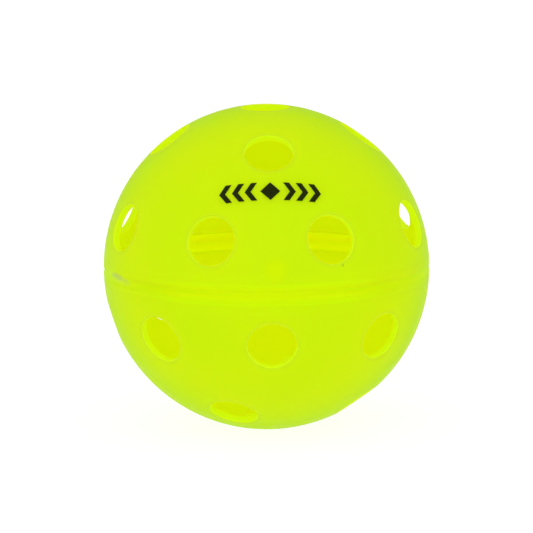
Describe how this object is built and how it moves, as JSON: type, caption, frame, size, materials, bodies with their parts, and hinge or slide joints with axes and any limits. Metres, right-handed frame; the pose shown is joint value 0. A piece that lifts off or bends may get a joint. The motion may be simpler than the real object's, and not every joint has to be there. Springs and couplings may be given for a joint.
{
  "type": "pickleball ball",
  "caption": "Hollow perforated pickleball of translucent neon plastic, welded from half shells along its equator, with rings of round holes and a small printed mark.",
  "frame": {"origin": "centre of the ball", "axes": "+Z along the pole axis, towards the upper half; -Y towards the printed mark; +X to the right of someone who faces the mark"},
  "size_m": [0.074, 0.074, 0.0732],
  "materials": {
    "shell_plastic": "satin",
    "weld_melt": "satin",
    "mark_ink": "satin"
  },
  "bodies": {
    "root": {"upper_shell": "shell_plastic", "lower_shell": "shell_plastic", "weld_bead": "weld_melt", "printed_mark": "mark_ink"}
  },
  "joints": []
}
